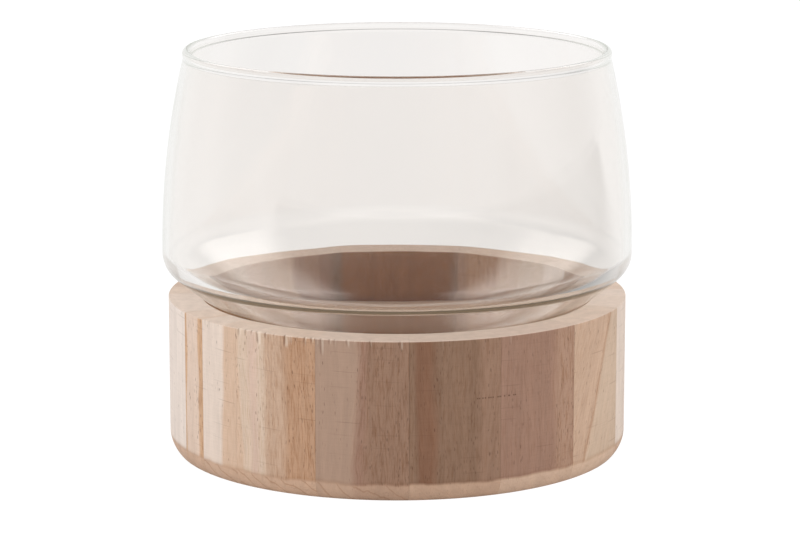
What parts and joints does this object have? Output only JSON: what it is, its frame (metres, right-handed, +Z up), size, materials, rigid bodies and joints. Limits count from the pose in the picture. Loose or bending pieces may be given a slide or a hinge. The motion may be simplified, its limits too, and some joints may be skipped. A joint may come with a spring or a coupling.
{
  "type": "glass vase with wooden base",
  "caption": "Wide clear glass vase with a beaded rim and a bowl-shaped underside, resting in a turned ring of upright glued wooden staves with a floor board.",
  "frame": {"origin": "middle of the wooden base's underside", "axes": "+Z up along the axis that the glass and the base are turned about, -Y towards the front of the picture, +X to its right"},
  "size_m": [0.1948, 0.1948, 0.1667],
  "materials": {
    "clear_glass": "blown, fire-polished, clear and colourless with a faint green cast in its thick parts",
    "stave_wood": "pale open-pored hardwood, turned and lightly sanded, no varnish",
    "floor_wood": "pale wood board, sanded, no varnish"
  },
  "bodies": {
    "base": {"stave_01": "stave_wood", "stave_02": "stave_wood", "stave_03": "stave_wood", "stave_04": "stave_wood", "stave_05": "stave_wood", "stave_06": "stave_wood", "stave_07": "stave_wood", "stave_08": "stave_wood", "stave_09": "stave_wood", "stave_10": "stave_wood", "stave_11": "stave_wood", "stave_12": "stave_wood", "stave_13": "stave_wood", "stave_14": "stave_wood", "stave_15": "stave_wood", "stave_16": "stave_wood", "stave_17": "stave_wood", "floor_board": "floor_wood"},
    "vase": {"glass_vessel": "clear_glass"}
  },
  "joints": [
    {"name": "vase_lift", "type": "slide", "parent": "base", "child": "vase", "axis": [0, 0, 1], "range_m": [0, 0.12]}
  ]
}
